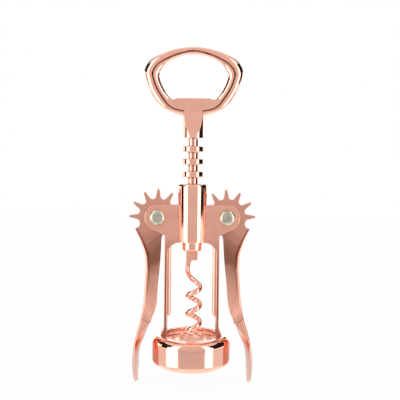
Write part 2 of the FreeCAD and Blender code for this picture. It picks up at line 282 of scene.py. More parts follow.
def newFinish(name, metallic):
    material = bpy.data.materials.new(name)
    material.use_nodes = True
    tree = material.node_tree
    shader = tree.nodes["Principled BSDF"]
    shader.inputs["Metallic"].default_value = metallic
    place = tree.nodes.new("ShaderNodeTexCoord").outputs["Object"]
    return material, tree, shader, place


def addNode(tree, kind, values):
    # a node whose inputs hold the values, or are linked where a value is another node's output
    node = tree.nodes.new("ShaderNode" + kind)
    for name, value in values.items():
        if isinstance(value, bpy.types.NodeSocket):
            tree.links.new(value, node.inputs[name])
        else:
            node.inputs[name].default_value = value
    return node


def addNoise(tree, place, size, detail, stretch=(1, 1, 1)):
    # size is the width of the pattern's grains, in millimetres
    mapping = addNode(tree, "Mapping", {"Scale": stretch, "Vector": place})
    noise = addNode(tree, "TexNoise", {"Scale": 1 / (size * mm), "Detail": detail,
                                       "Vector": mapping.outputs["Vector"]})
    return noise.outputs["Fac"]


def addRange(tree, source, low, high, fromLow=0.3, fromHigh=0.7):
    span = addNode(tree, "MapRange", {"From Min": fromLow, "From Max": fromHigh, "To Min": low,
                                      "To Max": high, "Value": source})
    return span.outputs["Result"]


def addMath(tree, operation, first, second):
    node = tree.nodes.new("ShaderNodeMath")
    node.operation = operation
    for socket, value in zip(node.inputs, (first, second)):
        if isinstance(value, (int, float)):
            socket.default_value = value
        else:
            tree.links.new(value, socket)
    return node.outputs[0]


def addTones(tree, source, first, second):
    ramp = addNode(tree, "ValToRGB", {"Fac": source})
    for element, at, tone in zip(ramp.color_ramp.elements, (0.35, 0.65), (first, second)):
        element.position = at
        element.color = tone
    return ramp.outputs["Color"]


def addProfile(tree, source, stops):
    # a value that follows (place in millimetres, value) stops
    low, high = stops[0][0], stops[-1][0]
    ramp = addNode(tree, "ValToRGB", {"Fac": addRange(tree, source, 0, 1, low * mm, high * mm)})
    ramp.color_ramp.interpolation = "EASE"
    elements = ramp.color_ramp.elements
    while len(elements) < len(stops):
        elements.new(0.5)
    for element, (at, value) in zip(elements, stops):
        element.position = (at - low) / (high - low)
        element.color = (value, value, value, 1)
    return ramp.outputs["Color"]


def addFilmAndShade(tree, clean, amount, tone=filmAndShadeTone):
    # dull brown over the clean plate, for film and for painted shade
    mix = tree.nodes.new("ShaderNodeMix")
    mix.data_type = "RGBA"
    mix.inputs["B"].default_value = tone
    tree.links.new(amount, mix.inputs["Factor"])
    tree.links.new(clean, mix.inputs["A"])
    return mix.outputs["Result"]


def addCornerShade(tree, clean, reach, least=0.3):
    # painted shade in the corners, darkest where least of the light gets in
    shade = addNode(tree, "AmbientOcclusion", {"Distance": reach * mm})
    shade.samples = 16
    shade.only_local = True
    return addFilmAndShade(tree, clean, addRange(tree, shade.outputs["AO"], 0.9, 0, least, 0.95))


def addBump(tree, shader, source, height):
    # height in millimetres
    bump = addNode(tree, "Bump", {"Distance": height * mm, "Height": source})
    tree.links.new(bump.outputs["Normal"], shader.inputs["Normal"])


def addLacquer(shader, rough):
    shader.inputs["Coat Weight"].default_value = 1
    shader.inputs["Coat Roughness"].default_value = rough


def copperPlate(name, rough, haze, grain, grainHeight, filmAndShade=None, cornerShade=True, tone=filmAndShadeTone):
    # rough: least and most roughness; haze and grain: widths of their patterns
    # film: amount of film and of painted shade over the plate
    material, tree, shader, place = newFinish(name, 1)
    if rough[0] < 0.1:
        addLacquer(shader, 0.5 * rough[0])
    colour = addTones(tree, addNoise(tree, place, 7, 3), copperTone, copperDeep)
    if filmAndShade:
        colour = addFilmAndShade(tree, colour, filmAndShade(tree, place), tone)
    # painted shade in corners and recesses, where the occlusion is
    if cornerShade:
        colour = addCornerShade(tree, colour, 1.6)
    tree.links.new(colour, shader.inputs["Base Color"])
    tree.links.new(addRange(tree, addNoise(tree, place, haze, 4), *rough), shader.inputs["Roughness"])
    addBump(tree, shader, addNoise(tree, place, grain, 1.5), grainHeight)
    return material


def splitPlace(tree, place):
    split = tree.nodes.new("ShaderNodeSeparateXYZ")
    tree.links.new(place, split.inputs[0])
    return split.outputs


def addWander(tree, place, height, grain, reach):
    # the height, made uneven so that what follows it has no straight edge
    wander = addMath(tree, "SUBTRACT", addNoise(tree, place, grain, 4), 0.5)
    return addMath(tree, "ADD", height, addMath(tree, "MULTIPLY", wander, reach * mm))


def dishShade(tree, place):
    # painted shade: the wings' gears are a little darker, and the hollow below each darker still
    x, y, z = splitPlace(tree, place)
    aside = addMath(tree, "SUBTRACT", addMath(tree, "ABSOLUTE", x, 0), 0.0207)
    height = addMath(tree, "ADD", z, addMath(tree, "MULTIPLY", aside, 0.6))
    return addProfile(tree, addWander(tree, place, height, 2.5, 6),
                      [(24, 0.0), (33, 0.04), (40, 0.13), (46, 0.26), (51, 0.42), (56, 0.74), (61, 0.74),
                       (66, 0.6), (71, 0.42), (76, 0.25), (92, 0.22)])


def legDarkening(tree, place):
    # darker down the legs, most from 18 to 56 mm up, and hardly at all on the ears
    x, y, z = splitPlace(tree, place)
    return addProfile(tree, addWander(tree, place, z, 2.5, 8),
                      [(12, 0.25), (18, 0.62), (30, 0.72), (56, 0.62), (64, 0.26), (70, 0.05), (100, 0.02)])


def seamFilm(tree, place):
    # faint line that the mould left down the front and the back
    x, y, z = splitPlace(tree, place)
    aside = addMath(tree, "ABSOLUTE", x, 0)
    line = addProfile(tree, aside, [(0.0, 0.55), (0.2, 0.5), (0.55, 0.0), (6.0, 0.0)])
    deep = addMath(tree, "ABSOLUTE", y, 0)
    inner = addProfile(tree, deep, [(0.0, 1.0), (3.0, 1.0), (3.3, 0.0), (6.0, 0.0)])
    return addMath(tree, "MULTIPLY", line, inner)


def paddleFilm(tree, place):
    # a little duller towards the tip
    x, y, z = splitPlace(tree, place)
    return addProfile(tree, addWander(tree, place, z, 3, 8), [(-10, 0.24), (6, 0.2), (16, 0.16), (25, 0.06)])


def grooveShade(tree, place):
    # painted shade: the step in the ring is darkened nearly everywhere
    return addRange(tree, addNoise(tree, place, 4, 2), 0.85, 0.98)


def brushedCopper():
    material, tree, shader, place = newFinish("brushedCopper", 1)
    shader.inputs["Anisotropic"].default_value = 0.8
    shader.inputs["Anisotropic Rotation"].default_value = 0.25
    turning = tree.nodes.new("ShaderNodeTangent")
    turning.direction_type = "RADIAL"
    turning.axis = "Z"
    tree.links.new(turning.outputs["Tangent"], shader.inputs["Tangent"])
    lines = addNoise(tree, place, 6, 3, (1, 1, 40))
    tree.links.new(addTones(tree, lines, copperTone, copperDeep), shader.inputs["Base Color"])
    tree.links.new(addRange(tree, lines, 0.16, 0.22), shader.inputs["Roughness"])
    addLacquer(shader, 0.06)
    shader.inputs["Coat IOR"].default_value = 1.7
    addBump(tree, shader, lines, 0.001)
    return material


def plainFinish(name, metallic, grain, tones, rough, bump=None):
    # one pattern for tone and roughness; bump: grain, detail and height of the unevenness
    material, tree, shader, place = newFinish(name, metallic)
    pattern = addNoise(tree, place, grain, 3)
    tree.links.new(addTones(tree, pattern, *tones), shader.inputs["Base Color"])
    tree.links.new(addRange(tree, pattern, *rough), shader.inputs["Roughness"])
    if bump:
        bumpGrain, detail, height = bump
        addBump(tree, shader, addNoise(tree, place, bumpGrain, detail), height)
    return material


nickelTones = ((0.60, 0.55, 0.455, 1), (0.43, 0.385, 0.305, 1))
steelTones = ((0.55, 0.52, 0.49, 1), (0.38, 0.36, 0.34, 1))
linerTones = ((1.0, 0.78, 0.69, 1), (0.98, 0.70, 0.60, 1))    # pearly pink plating on moulded plastic

polished = copperPlate("polishedCopper", (0.04, 0.08), 1.6, 2.2, 0.004, None, False)
seamed = copperPlate("seamedCopper", (0.04, 0.08), 1.6, 2.2, 0.004, seamFilm)
satin = copperPlate("satinCopper", (0.27, 0.36), 1.1, 0.22, 0.004)
castSatin = copperPlate("castSatinCopper", (0.27, 0.36), 1.1, 0.22, 0.004, legDarkening)
paddled = copperPlate("paddleCopper", (0.15, 0.22), 1.1, 0.6, 0.003, paddleFilm)
ribbed = copperPlate("ribCopper", (0.18, 0.26), 1.1, 0.6, 0.003, None, False)
# the wings carry painted shade on their gears and in the hollows below them
wingSatin = copperPlate("wingSatinCopper", (0.27, 0.38), 1.1, 0.22, 0.005, dishShade)
# the ring's groove is darkened with painted shade
grooved = copperPlate("groovedCopper", (0.15, 0.25), 1.6, 2.2, 0.004, grooveShade, True, grooveShadeTone)
brushed = brushedCopper()
nickel = plainFinish("rivetNickel", 1, 3, nickelTones, (0.24, 0.34), (1.5, 2, 0.03))
steel = plainFinish("pinSteel", 1, 1.2, steelTones, (0.25, 0.4))
plastic = plainFinish("linerPlastic", 0.75, 5, linerTones, (0.1, 0.14), (3, 1, 0.004))
print("finishes made")


# handle: grip ring, web and shank
handleSize = {
    "centre": (0.0, 155.0),
    "rimOuter": [(0.0, 172.7), (16.2, 169.8), (24.5, 165.0), (26.95, 159.8), (25.7, 153.8), (22.3, 146.3),
                 (17.0, 140.2), (9.5, 136.5), (0.0, 135.2)],
    "rimInner": [(0.0, 170.4), (7.6, 169.0), (14.0, 166.5), (20.3, 162.2), (22.3, 158.4), (21.6, 154.5),
                 (17.6, 146.4), (12.2, 140.1), (5.6, 138.1), (0.0, 137.6)],
    "opening": [(0.0, 169.1), (9.6, 167.1), (15.6, 163.4), (18.6, 157.2), (16.9, 151.6), (12.6, 145.3)],
    "lip": [(12.6, 145.3), (11.3, 144.1), (8.6, 145.0), (0.0, 145.0)],
    "rimHalf": 3.3,
    "bandHalf": 2.45,
    # (share of the width from the groove, fall below the face) of the rim and of the band inside it
    "rimFall": [(0.28, 0.0), (0.33, 0.017), (0.38, 0.069), (0.48, 0.232), (0.57, 0.419), (0.665, 0.662),
                (0.76, 0.957), (0.84, 1.29), (0.925, 1.87), (0.985, 2.7), (1.0, 3.1)],
    "rimWidth": 4.35,
    "bandFall": [(0.38, 0.0), (0.42, 0.023), (0.5, 0.14), (0.6, 0.306), (0.7, 0.53), (0.8, 0.786),
                 (0.9, 1.197), (0.97, 1.75), (1.0, 2.2)],
    "bandWidth": 3.7,
    "lipRound": 0.2,
    "footStep": 0.3,             # half the groove's width where the rim has stopped
    "sectionStep": 2.0,          # degrees from one section of the ring to the next
    "edgeClear": 0.8,            # no other section is as near as this to where the rim stops
    "edgeGap": 0.25,
    "webHalfAngle": 16.4,        # the rim stops here on each side of the shank, in degrees from the bottom
    "shankRadius": 5.9,
    "shankBottom": 123.3,
    "shankTop": 139.0,
    "flatStart": (5.9, 123.6),   # (y, z) where a flat leaves the shank's surface
    "flatEnd": (2.45, 137.6),
    "flatEdge": 0.12,
    "footEdge": 0.18,
    "pinRadius": 1.0,
    "pinZ": pinHeight,
    "pinPlay": 0.01,
    "pinHoleHalf": 9,
}


def polarKnots(outline, centre):
    # (radius, angle) of each point about the ring's centre, for its right half
    knots = []
    for x, z in outline:
        knots.append((hypot(x - centre[0], z - centre[1]), atan2(z - centre[1], x - centre[0])))
    return knots


def lineReach(outline, centre, angle):
    # distance from the centre to a chain of straight lines, along an angle
    for (x0, z0), (x1, z1) in zip(outline, outline[1:]):
        low = atan2(z1 - centre[1], x1 - centre[0])
        high = atan2(z0 - centre[1], x0 - centre[0])
        if low - tiny <= angle <= high + tiny:
            dx, dz = x1 - x0, z1 - z0
            cross = cos(angle) * dz - sin(angle) * dx
            return ((x0 - centre[0]) * dz - (z0 - centre[1]) * dx) / cross
    return 0


def fallRow(size, part, width, rounded):
    # (share, fall) across the rim or the band, or across the small rounding that takes its place
    knots = size[part + "Fall"]
    row = []
    for share, fall in knots:
        if rounded:
            share = 1 - size["lipRound"] / width * (1 - share) ** 2
            fall = size["lipRound"] * fall / knots[-1][1]
        else:
            fall *= width / size[part + "Width"]
        row.append((share, fall))
    return row


def ringSection(size, inner, groove, outer, lipped, rimmed):
    # one side of the ring's section from the opening to the outside: (radius, half depth)
    band = size["bandHalf"]
    rim = size["rimHalf"] if rimmed else band
    width = groove - inner
    section = [(inner, 0)]
    for share, fall in reversed(fallRow(size, "band", width, lipped)):
        section.append((groove - share * width, band - fall))
    step = (rim - band) / 2 if rimmed else size["footStep"]
    section.append((groove - step, band))
    section.append((groove + step, rim))
    width = outer - groove - step
    for share, fall in fallRow(size, "rim", width, not rimmed):
        section.append((groove + step + share * width, rim - fall))
    section.append((outer, 0))
    return section


def ringStations(size):
    # angles round the right half from the top to the bottom, with one at each corner of the lip
    angles = [90 - size["sectionStep"] * k for k in range(int(180 / size["sectionStep"]) + 1)]
    for x, z in size["lip"][:-1]:
        corner = atan2(z - size["centre"][1], x - size["centre"][0]) * 180 / pi
        nearest = min(range(len(angles)), key=lambda k: abs(angles[k] - corner))
        angles[nearest] = corner
    edge = -90 + size["webHalfAngle"]
    angles = [angle for angle in angles if abs(angle - edge) > size["edgeClear"]]
    angles += [edge - size["edgeGap"], edge + size["edgeGap"]]
    return sorted(angles, reverse=True)


def gripRing(size):
    centre = size["centre"]
    outerKnots = polarKnots(size["rimOuter"], centre)
    grooveKnots = polarKnots(size["rimInner"], centre)
    bowKnots = polarKnots(size["opening"], centre)
    lipStart = bowKnots[-1][1]
    rows = []
    for degree in ringStations(size):
        angle = radians(degree)
        outer = follow(outerKnots, angle, level=True)
        groove = follow(grooveKnots, angle, level=True)
        lipped = angle < lipStart + tiny
        inner = lineReach(size["lip"], centre, angle) if lipped else follow(bowKnots, angle)
        rimmed = degree > -90 + size["webHalfAngle"]
        half = ringSection(size, inner, groove, outer, lipped, rimmed)
        loop = [(radius, -depth) for radius, depth in half]
        loop += [(radius, depth) for radius, depth in reversed(half[:-1])]
        row = []
        for radius, y in loop:
            row.append((centre[0] + radius * cos(angle), y, centre[1] + radius * sin(angle)))
        rows.append(row)
    mirrored = [[(-x, y, z) for x, y, z in row] for row in reversed(rows[:-1])]
    step = len(size["bandFall"]) + 1    # the column of faces that climbs from the band to the rim
    ring = drawGrid("gripRing", rows + mirrored, (step, len(rows[0]) - 2 - step))
    for face in ring.data.polygons:
        away = Vector((face.center.x / mm, centre[1] - face.center.z / mm))
        if away.y > 0 and abs(atan2(away.x, away.y)) < radians(size["webHalfAngle"]):
            face.material_index = 0
    return ring


def shank(size):
    deselectAll()
    height = size["shankTop"] - size["shankBottom"]
    middle = (size["shankTop"] + size["shankBottom"]) / 2
    bpy.ops.mesh.primitive_cylinder_add(vertices=128, radius=size["shankRadius"] * mm, depth=height * mm,
                                        location=(0, 0, middle * mm))
    piece = bpy.context.active_object
    bpy.ops.object.transform_apply(location=True, rotation=True, scale=True)
    bpy.ops.object.mode_set(mode="EDIT")
    y0, z0 = size["flatStart"]
    y1, z1 = size["flatEnd"]
    for side in (-1, 1):
        normal = Vector((0, side * (z1 - z0), y0 - y1)).normalized()
        start = Vector((0, side * y0, z0)) * mm
        bpy.ops.mesh.select_all(action="SELECT")
        bpy.ops.mesh.bisect(plane_co=start, plane_no=normal, use_fill=True, clear_outer=True)
        selectEdges(piece, lambda edge: all(abs((end.co - start).dot(normal)) < tiny for end in edge.verts))
        bpy.ops.mesh.bevel(offset=size["flatEdge"] * mm, segments=2, affect="EDGES")
    low = size["shankBottom"] * mm + tiny
    selectEdges(piece, lambda edge: edge.verts[0].co.z < low and edge.verts[1].co.z < low)
    bpy.ops.mesh.bevel(offset=size["footEdge"] * mm, segments=2, affect="EDGES")
    bpy.ops.object.mode_set(mode="OBJECT")
    reach = size["pinHoleHalf"]
    hole = crossCylinder(size["pinRadius"] + size["pinPlay"], 0, size["pinZ"], -reach, reach, 48)
    placeMesh(hole, pi / 2, "Z")
    return combine(piece, hole, "DIFFERENCE")


def handlePiece(size):
    ring = gripRing(size)
    setMaterials(ring, polished, grooved)
    rod = shank(size)
    giveMaterial(rod, polished)
    return combine(ring, rod)


handle = handlePiece(handleSize)
shadePiece(handle, 28, True)
handOver(handle, "handle", "polished_copper_plate", "handle")
print("handle made")


# spindle pin
pinSize = {"radius": 1.0, "reach": 5.8, "crown": 0.25, "z": pinHeight}


def spindlePin(size):
    radius, reach, crown = size["radius"], size["reach"], size["crown"]
    outline = [(0, -reach), (radius - crown, -reach), (radius, crown - reach), (radius, reach - crown),
               (radius - crown, reach), (0, reach)]
    piece = turned("crossPin", outline, 32)
    return placeMesh(piece, pi / 2, "Y", (0, 0, size["z"]))


pin = spindlePin(pinSize)
giveMaterial(pin, steel)
shadePiece(pin)
handOver(pin, "handle", "pin_steel", "spindle_pin")
print("pin made")


# rack
rackSize = {
    "bore": 1.8,
    "neck": 2.9,
    "flange": 6.0,
    "tipThick": 3.0,
    "rootThick": 3.4,
    "flangeRound": 0.5,
    "rootRound": 0.3,
    "pitch": 6.82,
    "topFlange": 117.3,
    "flanges": 7,
    "top": 123.25,
    "bottom": 61.95,
    "plainEnd": (5.6, 71.2),
    "endRound": (0.15, 1.25, 0.6),    # at the bore, at the foot and at the shoulder of the plain end
    "topRound": 0.1,
}


def rackTeeth(size):
    endRadius, endTop = size["plainEnd"]
    boreRound, footRound, shoulderRound = size["endRound"]
    corners = [(size["bore"], size["bottom"], boreRound),
               (endRadius, size["bottom"], footRound),
               (endRadius, endTop, shoulderRound),
               (size["neck"], endTop, size["rootRound"])]
    for k in reversed(range(size["flanges"])):
        z = size["topFlange"] - k * size["pitch"]
        root, tip = size["rootThick"] / 2, size["tipThick"] / 2
        corners += [(size["neck"], z - root, size["rootRound"]),
                    (size["flange"], z - tip, size["flangeRound"]),
                    (size["flange"], z + tip, size["flangeRound"]),
                    (size["neck"], z + root, size["rootRound"])]
    corners += [(size["neck"], size["top"], size["topRound"]), (size["bore"], size["top"], size["topRound"])]
    return turned("ringToothRack", roundedOutline(corners), 96)


rack = rackTeeth(rackSize)
giveMaterial(rack, seamed)
shadePiece(rack, 40)
handOver(rack, "rack", "polished_copper_plate", "rack")
print("rack made")


# worm: spindle, flattened shoulder and wire
wormSize = {
    "spindle": 1.75,
    "spindleTop": 136.0,
    "spindleBottom": 61.5,
    "spindleEdge": 0.4,
    "shoulder": [(-3.2, 61.9, 0.4), (-3.2, 53.6, 0.6), (-1.0, 52.4, 0.5), (-0.4, 57.0, 1.5),
                 (3.2, 57.0, 0.45), (3.2, 61.9, 0.4)],
    "shoulderHalf": 2.0,
    "shoulderEdge": 0.25,
    "coilRadius": 3.5,
    "pitch": 9.6,
    "wire": 1.4,
    "offsetX": 1.2,
    "joinZ": 42.05,
    "leadDegrees": 180.0,    # first part of the coil, where it eases out of the shoulder
    "easeDrop": 5.6,
    "rootSteps": 5,
    "rootLean": 0.5,         # of the wire inside the shoulder, with its rise and how much thinner it is
    "rootRise": 5.5,
    "rootThin": 0.1,
    "tipZ": 14.0,
    "tipWire": 0.3,
    "taperDegrees": 270,
    "stepsPerTurn": 40,
}


def wormPath(size):
    # (point, wire radius) from inside the shoulder down to the tip
    lead = size["leadDegrees"]
    wire = size["wire"]
    coil = size["coilRadius"]
    total = lead + 360 * (size["joinZ"] - size["tipZ"]) / size["pitch"]
    steps = int(total / 360 * size["stepsPerTurn"])
    leftX = size["offsetX"] - coil
    topZ = size["joinZ"] + size["pitch"] / 2 + size["easeDrop"]
    path = []
    for k in range(size["rootSteps"]):
        up = 1 - k / size["rootSteps"]
        place = (leftX + size["rootLean"] * up ** 2, 0, topZ + size["rootRise"] * up)
        path.append((place, wire * (1 - size["rootThin"] * up)))
    for i in range(steps + 1):
        turn = total * i / steps
        z = size["joinZ"] + size["pitch"] * (lead - turn) / 360
        if turn < lead:
            z += size["easeDrop"] * ((lead - turn) / lead) ** 3
        angle = radians(180 - turn)
        left = total - turn
        radius = wire
        if left < size["taperDegrees"]:
            radius = size["tipWire"] + (wire - size["tipWire"]) * sqrt(left / size["taperDegrees"])
        path.append(((size["offsetX"] + coil * cos(angle), coil * sin(angle), z), radius))
    return path


def wireCoil(size):
    path = wormPath(size)
    curve = bpy.data.curves.new("wormWire", "CURVE")
    curve.dimensions = "3D"
    curve.bevel_depth = mm
    curve.bevel_resolution = 6
    curve.use_fill_caps = True
    spline = curve.splines.new("POLY")
    spline.points.add(len(path) - 1)
    for point, (place, radius) in zip(spline.points, path):
        point.co = (*(Vector(place) * mm), 1)
        point.radius = radius
    wire = bpy.data.objects.new("wormWire", curve)
    bpy.context.collection.objects.link(wire)
    pickOnly(wire)
    bpy.ops.object.convert(target="MESH")
    wire = bpy.context.active_object
    closeUp(wire)
    return wire


def worm(size):
    shoulder = drawLoop("wormScrew", roundedOutline(size["shoulder"], 5))
    extrudeLoop(shoulder, size["shoulderHalf"], size["shoulderEdge"], 3)
    giveMaterial(shoulder, satin)
    wire = wireCoil(size)
    giveMaterial(wire, polished)
    radius, edge = size["spindle"], size["spindleEdge"]
    low, top = size["spindleBottom"], size["spindleTop"]
    outline = [(0, low), (radius, low), (radius, top - edge), (radius - edge, top), (0, top)]
    spindle = turned("spindle", outline, 48)
    giveMaterial(spindle, polished)
    combine(shoulder, wire)
    return combine(shoulder, spindle)


screw = worm(wormSize)
shadePiece(screw, 40)
handOver(screw, "handle", "polished_copper_plate", "worm")
print("worm made")


# frame: sleeve, clevis ears, legs and base ring
frameSize = {
    "pivot": pivotPlace,
    "earRadius": 6.9,
    "earSlope": 25,
    "plateHalf": clevisHalf,
    "slotHalf": 2.2,
    "pocket": 15.9,
    "plateEdge": 0.3,
    "legOuter": 14.95,
    "heelRound": 1.8,
    "legInner": 13.3,
    "archZ": 66.7,
    "archRound": 6.8,
    "foot": (16.8, 16.4),
    "footFoot": 13.9,
    "footRise": 3.6,
    "ankleRound": 3.0,
    "footRound": 0.8,
    "ribInner": 11.3,
    "ribHalf": 1.4,
    "ribBottom": 25.4,
    "ribTop": 1.5,      # how far the rib goes into the arch, and into the leg
    "ribRoot": 0.4,
    "ribNose": [(0.0, 2.9, 0.8), (0.35, 1.9, 0.8), (0.9, 1.1, 0.92), (1.6, 0.45, 0.92), (2.6, 0.0, 1)],
    "sleeve": [(6.1, 66.8, 0.3), (7.85, 66.8, 0.45), (8.3, 98.5, 1.6), (6.1, 98.5, 0.4)],
    "baseRing": [(14.3, 13.9, 0.3), (14.3, 16.2, 0.5), (15.7, 16.2, 0.4), (15.7, 15.0, 0), (19.95, 15.0, 1.5),
                 (19.95, 12.9, 0.2), (15.2, 12.9, 0.2)],
    "bore": 6.3,
    "rivetBore": 2.05,
    "boreHalf": 10,
}


def earOutline(size):
    # right ear with the leg's strap below it
    x, z = size["pivot"]
    radius = size["earRadius"]
    slope = radians(size["earSlope"])
    touch = (x + radius * sin(slope), z - radius * cos(slope))
    heel = touch[1] - (touch[0] - size["legOuter"]) * tan(slope)
    footX, footZ = size["foot"]
    outline = [(size["bore"], size["archZ"]), (size["bore"], z + radius)]
    outline += arcPoints((x, z), radius, 90, -90 + size["earSlope"], 28)
    lower = roundedOutline([(*touch, 0), (size["legOuter"], heel, size["heelRound"]),
                            (size["legOuter"], footZ + size["footRise"], size["ankleRound"]),
                            (footX, footZ, size["footRound"]), (footX, size["footFoot"], 0),
                            (size["legInner"], size["footFoot"], 0),
                            (size["legInner"], size["archZ"], size["archRound"]),
                            (size["bore"], size["archZ"], 0)], 7)
    return outline + lower[1:-1]


def earAndLeg(size):
    piece = drawLoop("earAndLeg", earOutline(size))
    giveMaterial(piece, castSatin, polished)
    return extrudeLoop(piece, size["plateHalf"], size["plateEdge"], 3, 1)


def legRib(size):
    # rounded rib on the inside of the leg, with a bullet nose at its foot
    # the nose's stops are its rise, how far the face draws back and the share of the width
    rows = []
    back = size["legInner"] + size["ribRoot"]
    heights = [(size["ribBottom"] + rise, away, share) for rise, away, share in size["ribNose"]]
    heights.append((size["archZ"] + size["ribTop"], 0.0, 1))
    for z, away, share in heights:
        face = min(size["ribInner"] + away, back - 0.1)
        half = size["ribHalf"] * share
        nose = face + min(half, back - face - 0.05)
        row = [(back, -half, z)]
        for k in range(9):
            angle = -pi / 2 + pi * k / 8
            row.append((nose - (nose - face) * cos(angle), half * sin(angle), z))
        row += [(back, half, z), (back, -half, z)]
        rows.append(row)
    return drawGrid("legRib", rows)


def castFrame(size):
    sleeve = turned("castFrame", roundedOutline(size["sleeve"]), 128)
    giveMaterial(sleeve, polished)
    side = earAndLeg(size)
    rib = legRib(size)
    giveMaterial(rib, ribbed)
    shadePiece(rib, 40)
    ring = turned("baseRing", roundedOutline(size["baseRing"], 4), 128)
    giveMaterial(ring, polished)
    others = [side, twin(side, "otherSide"), rib, twin(rib, "otherRib"), ring]
    for other in others:
        combine(sleeve, other)
    # each wing's pocket opens into the sleeve, where its teeth reach the rack
    x, z = size["pivot"]
    reach = size["boreHalf"]
    for place in (-x, x):
        pocket = crossCylinder(size["pocket"], place, z, -size["slotHalf"], size["slotHalf"], 160)
        combine(sleeve, pocket, "DIFFERENCE")
        combine(sleeve, crossCylinder(size["rivetBore"], place, z, -reach, reach, 48), "DIFFERENCE")
    return sleeve


casting = castFrame(frameSize)
shadePiece(casting, 30, True)
handOver(casting, "frame", "frame_copper_plate", "frame")
print("frame made")


# bell and its liner
bellSize = {
    "outline": [(16.9, 0.0, 0.5), (21.55, 0.0, 4.0), (21.55, 16.3, 3.7), (15.75, 16.3, 0.5),
                (15.75, 15.05, 0.2), (20.05, 15.05, 1.8), (20.05, 1.4, 2.4), (16.9, 1.4, 0.4)],
    "brushedFrom": 4.0,
    "brushedTo": 11.9,
    "brushedRadius": 21.3,    # faces further out than this are on the outside
}

linerSize = {
    "outline": [(15.0, 0.0, 0.6), (16.85, 0.0, 0.5), (16.85, 1.4, 0.2), (19.95, 1.4, 2.6),
                (19.95, 12.9, 0.3), (15.0, 12.9, 0.6)],
}


def bellShell(size):
    piece = turned("bellShell", roundedOutline(size["outline"], 10), 160)
    editAll(piece)
    for z in (size["brushedFrom"], size["brushedTo"]):
        cutFlat((0, 0, z * mm), (0, 0, 1))
    bpy.ops.object.mode_set(mode="OBJECT")
    giveMaterial(piece, polished, brushed)
    for face in piece.data.polygons:
        middle = face.center / mm
        outside = hypot(middle.x, middle.y) > size["brushedRadius"]
        if outside and size["brushedFrom"] < middle.z < size["brushedTo"]:
            face.material_index = 1
    return piece


bell = bellShell(bellSize)
shadePiece(bell, 40)
handOver(bell, "frame", "polished_copper_plate", "bell")

liner = turned("bottleLiner", roundedOutline(linerSize["outline"]), 128)
giveMaterial(liner, plastic)
shadePiece(liner, 40)
handOver(liner, "frame", "liner_plastic", "bottle_liner")
print("bell and liner made")


# wings
armOuter = [(31.14, 74.05), (27.85, 67.2), (25.85, 61.0), (25.3, 54.5), (25.6, 44.0), (26.4, 32.0)]
armInner = [(30.95, 74.05), (29.8, 72.2), (26.7, 66.0), (24.5, 60.0), (23.9, 54.0), (24.1, 44.0),
            (24.5, 34.0)]

wingSize = {
    "pivot": pivotPlace,
    "teeth": 7,
    "toothStep": 30,
    "tip": 15.4,
    "flank": 10.9,
    "valley": 10.1,
    "firstTooth": -1.4,
    "tipWidth": 1.2,
    "rootWidth": 2.8,
    "tipRound": 0.35,
    "tipFall": 0.08,      # of the tip's crown at this share of its half width
    "tipShare": 0.55,
    "half": 2.0,
    "edge": 0.22,
    "bore": 2.05,
    "boreHalf": 5,
    "corner": (13.7, 207, 193.8),    # radius and turn, and the turn of the valley before it
    "heel": -75,
    "heelGap": 2,
    "hang": 1.1,    # degrees that the right wing rests further out, within the play of its teeth
    "webOuter": [(30.6, 73.5), (27.4, 67.0), (25.2, 61.0), (24.6, 54.5), (24.9, 44.0), (25.7, 32.0),
                 (26.5, 26.6), (26.9, 25.3)],
    "webInner": [(22.2, 22.9), (21.3, 26.0), (19.3, 31.0), (18.5, 43.0), (17.3, 57.0), (16.8, 68.5)],
    "webUp": (24.4, 2, 26),           # start, step and number of the cuts that let the web bend
    "webAcross": (18, 1.15, 9),
    # half depth of the web by its height above or below the dish's low line
    "dish": [(2.0, 18.0), (1.9, 13.0), (1.5, 6.0), (0.95, 0.0), (1.05, -3.0), (1.65, -12.0), (2.45, -20.0),
             (3.7, -27.0), (5.1, -31.5)],
    # x and z of the dish's lowest place, and how steeply its line rises beside it
    "dishLow": (20.7, 55.0, 0.9),
    "dishTop": 76,
    # the lip and paddle in the middle of their depth, and at their front and back
    "barOuter": armOuter + [(27.8, 25.0), (29.6, 19.0), (30.9, 13.5), (31.85, 8.0), (32.35, 2.0),
                            (32.3, -2.0), (31.9, -6.0), (31.6, -8.2), (31.3, -9.2), (30.9, -9.7),
                            (30.5, -9.9)],
    "barInner": armInner + [(23.4, 27.0), (22.5, 24.5), (24.4, 18.2), (26.5, 12.8), (27.7, 10.0),
                            (28.4, 6.2), (28.9, 0.0), (29.05, -6.0), (29.0, -8.2), (29.1, -9.2),
                            (29.35, -9.7), (29.7, -9.9)],
    "noseOuter": armOuter + [(27.5, 25.0), (29.3, 18.2), (30.2, 13.5), (30.5, 8.0), (30.2, 0.0),
                             (30.1, -5.0), (30.2, -9.9)],
    "noseInner": armInner + [(23.5, 27.0), (22.7, 24.5), (26.4, 18.2), (29.3, 14.1), (29.9, 8.0),
                             (29.5, 0.0), (29.4, -5.0), (30.05, -9.9)],
    "barHalf": [(2.5, 74.05), (2.8, 71.0), (2.8, 46.0), (3.0, 34.0), (3.6, 28.0), (4.5, 24.5), (6.3, 18.2),
                (7.7, 13.5), (8.7, 8.0), (9.0, 2.5), (8.4, -3.0), (6.8, -6.8), (5.0, -8.7), (3.3, -9.45),
                (0.9, -9.88)],
    "barTop": [74.05, 73.4, 72.4, 71.4],
    "barTip": [-6.8, -7.6, -8.3, -8.8, -9.2, -9.5, -9.7, -9.82, -9.88],
    "bowRound": 0.3,
    "outerRound": 0.9,
    "innerRound": 0.2,
    "paddleTop": 24.0,
}


def wingPolar(size, radius, turn):
    # place at a radius and a turn about the right pivot, from the side of the rack over the top
    angle = radians(180 - turn)
    return (size["pivot"][0] + radius * cos(angle), size["pivot"][1] + radius * sin(angle))


